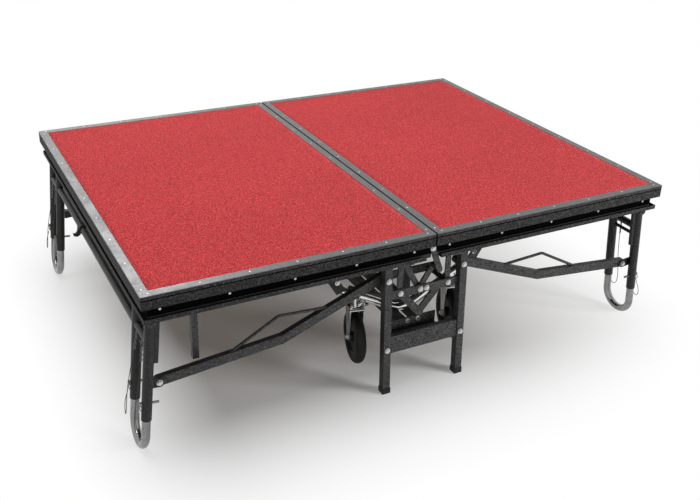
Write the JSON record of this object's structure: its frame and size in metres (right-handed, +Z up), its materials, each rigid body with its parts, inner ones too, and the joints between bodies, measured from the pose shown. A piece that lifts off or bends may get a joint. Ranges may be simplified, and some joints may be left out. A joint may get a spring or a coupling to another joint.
{
  "type": "stage riser platform",
  "caption": "Wheeled folding stage platform: two carpeted deck halves hinged at the middle, centre posts, braced end legs with sliding U feet, and a swivel caster carriage.",
  "frame": {"origin": "on the floor under the centre of the deck", "axes": "+X along the deck length, across the fold line; +Y along the fold line to the rear; +Z up"},
  "size_m": [2.5222, 1.83, 0.7412],
  "materials": {
    "black_steel": "textured powder coat",
    "rail_black": "textured powder coat",
    "bolt_zinc": "zinc plated",
    "vee_zinc": "bright zinc",
    "trim_aluminium": "satin",
    "red_carpet": "short pile",
    "plywood": "plain",
    "foot_zinc": "galvanised",
    "fork_steel": "grey paint",
    "tyre_rubber": "matt",
    "cap_rubber": "matt",
    "lanyard_wire": "steel wire"
  },
  "bodies": {
    "carriage": {"centre_spine": "black_steel", "hinge_pins": "bolt_zinc", "gooseneck_arms": "black_steel", "link_bars": "black_steel", "carriage_straps": "black_steel", "vee_frames": "vee_zinc", "carriage_frame": "black_steel", "carriage_bolts": "bolt_zinc"},
    "left_deck": {"left_deck_board": "plywood", "left_deck_carpet": "red_carpet", "left_deck_trim": "trim_aluminium", "left_deck_rails": "rail_black", "left_deck_under_frame": "black_steel", "left_deck_hinge_leaves": "bolt_zinc", "left_deck_leg_ears": "black_steel", "left_deck_screws": "bolt_zinc"},
    "left_leg_frame": {"left_leg_tubes": "black_steel", "left_leg_crossbars": "black_steel", "left_leg_brackets": "black_steel", "left_lanyards": "lanyard_wire"},
    "right_deck": {"right_deck_board": "plywood", "right_deck_carpet": "red_carpet", "right_deck_trim": "trim_aluminium", "right_deck_rails": "rail_black", "right_deck_under_frame": "black_steel", "right_deck_hinge_leaves": "bolt_zinc", "right_deck_leg_ears": "black_steel", "right_deck_screws": "bolt_zinc"},
    "right_leg_frame": {"right_leg_tubes": "black_steel", "right_leg_crossbars": "black_steel", "right_leg_brackets": "black_steel", "right_lanyards": "lanyard_wire"},
    "front_post_frame": {"front_posts": "black_steel", "front_post_crossbar": "black_steel", "front_post_caps": "cap_rubber", "front_post_bolts": "bolt_zinc"},
    "rear_post_frame": {"rear_posts": "black_steel", "rear_post_crossbar": "black_steel", "rear_post_caps": "cap_rubber", "rear_post_bolts": "bolt_zinc"},
    "front_left_foot": {"front_left_foot": "foot_zinc"},
    "front_left_pins": {"front_left_lock_pins": "bolt_zinc"},
    "front_left_brace": {"front_left_brace": "black_steel"},
    "front_left_fork": {"front_left_caster_fork": "fork_steel"},
    "front_left_wheel": {"front_left_wheel": "tyre_rubber"},
    "front_right_foot": {"front_right_foot": "foot_zinc"},
    "front_right_pins": {"front_right_lock_pins": "bolt_zinc"},
    "front_right_brace": {"front_right_brace": "black_steel"},
    "front_right_fork": {"front_right_caster_fork": "fork_steel"},
    "front_right_wheel": {"front_right_wheel": "tyre_rubber"},
    "rear_left_foot": {"rear_left_foot": "foot_zinc"},
    "rear_left_pins": {"rear_left_lock_pins": "bolt_zinc"},
    "rear_left_brace": {"rear_left_brace": "black_steel"},
    "rear_left_fork": {"rear_left_caster_fork": "fork_steel"},
    "rear_left_wheel": {"rear_left_wheel": "tyre_rubber"},
    "rear_right_foot": {"rear_right_foot": "foot_zinc"},
    "rear_right_pins": {"rear_right_lock_pins": "bolt_zinc"},
    "rear_right_brace": {"rear_right_brace": "black_steel"},
    "rear_right_fork": {"rear_right_caster_fork": "fork_steel"},
    "rear_right_wheel": {"rear_right_wheel": "tyre_rubber"}
  },
  "joints": [
    {"name": "left_deck_fold", "type": "hinge", "parent": "carriage", "child": "left_deck", "pos_m": [-0.012, 0, 0.732], "axis": [0, 1, 0], "range_deg": [0, 90]},
    {"name": "right_deck_fold", "type": "hinge", "parent": "carriage", "child": "right_deck", "pos_m": [0.012, 0, 0.732], "axis": [0, -1, 0], "range_deg": [0, 90.5]},
    {"name": "left_leg_swing", "type": "hinge", "parent": "left_deck", "child": "left_leg_frame", "pos_m": [-1.174, 0, 0.597], "axis": [0, 1, 0], "range_deg": [-86.2, 0]},
    {"name": "right_leg_swing", "type": "hinge", "parent": "right_deck", "child": "right_leg_frame", "pos_m": [1.174, 0, 0.597], "axis": [0, -1, 0], "range_deg": [-86.2, 0]},
    {"name": "front_post_lift", "type": "slide", "parent": "carriage", "child": "front_post_frame", "axis": [0, 0, 1], "range_m": [0, 0.0788]},
    {"name": "rear_post_lift", "type": "slide", "parent": "carriage", "child": "rear_post_frame", "axis": [0, 0, 1], "range_m": [0, 0.0788]},
    {"name": "front_left_brace_swing", "type": "hinge", "parent": "front_post_frame", "child": "front_left_brace", "pos_m": [-0.184, -0.812, 0.535], "axis": [0, 1, 0], "range_deg": [0, 105.95]},
    {"name": "front_left_foot_slide", "type": "slide", "parent": "left_leg_frame", "child": "front_left_foot", "axis": [0.0958, 0, 0.9954], "range_m": [-0.1, 0]},
    {"name": "front_left_pins_pull", "type": "slide", "parent": "left_leg_frame", "child": "front_left_pins", "axis": [-0.9954, 0, 0.0958], "range_m": [0, 0.075]},
    {"name": "front_left_swivel", "type": "hinge", "parent": "carriage", "child": "front_left_fork", "pos_m": [-0.243, -0.69, 0.203], "axis": [0, 0, 1], "continuous": true},
    {"name": "front_left_wheel_spin", "type": "hinge", "parent": "front_left_fork", "child": "front_left_wheel", "pos_m": [-0.24716, -0.70956, 0.203], "axis": [0.9781, -0.2079, 0], "continuous": true},
    {"name": "front_right_brace_swing", "type": "hinge", "parent": "front_post_frame", "child": "front_right_brace", "pos_m": [0.184, -0.812, 0.535], "axis": [0, -1, 0], "range_deg": [0, 105.95]},
    {"name": "front_right_foot_slide", "type": "slide", "parent": "right_leg_frame", "child": "front_right_foot", "axis": [-0.0958, 0, 0.9954], "range_m": [-0.1, 0]},
    {"name": "front_right_pins_pull", "type": "slide", "parent": "right_leg_frame", "child": "front_right_pins", "axis": [0.9954, 0, 0.0958], "range_m": [0, 0.075]},
    {"name": "front_right_swivel", "type": "hinge", "parent": "carriage", "child": "front_right_fork", "pos_m": [0.243, -0.69, 0.203], "axis": [0, 0, 1], "continuous": true},
    {"name": "front_right_wheel_spin", "type": "hinge", "parent": "front_right_fork", "child": "front_right_wheel", "pos_m": [0.23884, -0.70956, 0.203], "axis": [0.9781, -0.2079, 0], "continuous": true},
    {"name": "rear_left_brace_swing", "type": "hinge", "parent": "rear_post_frame", "child": "rear_left_brace", "pos_m": [-0.184, 0.812, 0.535], "axis": [0, 1, 0], "range_deg": [0, 105.95]},
    {"name": "rear_left_foot_slide", "type": "slide", "parent": "left_leg_frame", "child": "rear_left_foot", "axis": [0.0958, 0, 0.9954], "range_m": [-0.1, 0]},
    {"name": "rear_left_pins_pull", "type": "slide", "parent": "left_leg_frame", "child": "rear_left_pins", "axis": [-0.9954, 0, 0.0958], "range_m": [0, 0.075]},
    {"name": "rear_left_swivel", "type": "hinge", "parent": "carriage", "child": "rear_left_fork", "pos_m": [-0.243, 0.69, 0.203], "axis": [0, 0, 1], "continuous": true},
    {"name": "rear_left_wheel_spin", "type": "hinge", "parent": "rear_left_fork", "child": "rear_left_wheel", "pos_m": [-0.23884, 0.70956, 0.203], "axis": [-0.9781, 0.2079, 0], "continuous": true},
    {"name": "rear_right_brace_swing", "type": "hinge", "parent": "rear_post_frame", "child": "rear_right_brace", "pos_m": [0.184, 0.812, 0.535], "axis": [0, -1, 0], "range_deg": [0, 105.95]},
    {"name": "rear_right_foot_slide", "type": "slide", "parent": "right_leg_frame", "child": "rear_right_foot", "axis": [-0.0958, 0, 0.9954], "range_m": [-0.1, 0]},
    {"name": "rear_right_pins_pull", "type": "slide", "parent": "right_leg_frame", "child": "rear_right_pins", "axis": [0.9954, 0, 0.0958], "range_m": [0, 0.075]},
    {"name": "rear_right_swivel", "type": "hinge", "parent": "carriage", "child": "rear_right_fork", "pos_m": [0.243, 0.69, 0.203], "axis": [0, 0, 1], "continuous": true},
    {"name": "rear_right_wheel_spin", "type": "hinge", "parent": "rear_right_fork", "child": "rear_right_wheel", "pos_m": [0.24716, 0.70956, 0.203], "axis": [-0.9781, 0.2079, 0], "continuous": true}
  ],
  "couplings": [
    {"joint": "right_deck_fold", "follows": "left_deck_fold", "ratio": 1},
    {"joint": "left_leg_swing", "follows": "left_deck_fold", "ratio": -0.95},
    {"joint": "right_leg_swing", "follows": "left_deck_fold", "ratio": -0.95},
    {"joint": "front_post_lift", "follows": "left_deck_fold", "m_per_rad": 0.049847},
    {"joint": "rear_post_lift", "follows": "left_deck_fold", "m_per_rad": 0.049847},
    {"joint": "front_left_brace_swing", "follows": "left_deck_fold", "ratio": 1.1717},
    {"joint": "front_right_brace_swing", "follows": "left_deck_fold", "ratio": 1.1717},
    {"joint": "rear_left_brace_swing", "follows": "left_deck_fold", "ratio": 1.1717},
    {"joint": "rear_right_brace_swing", "follows": "left_deck_fold", "ratio": 1.1717}
  ]
}
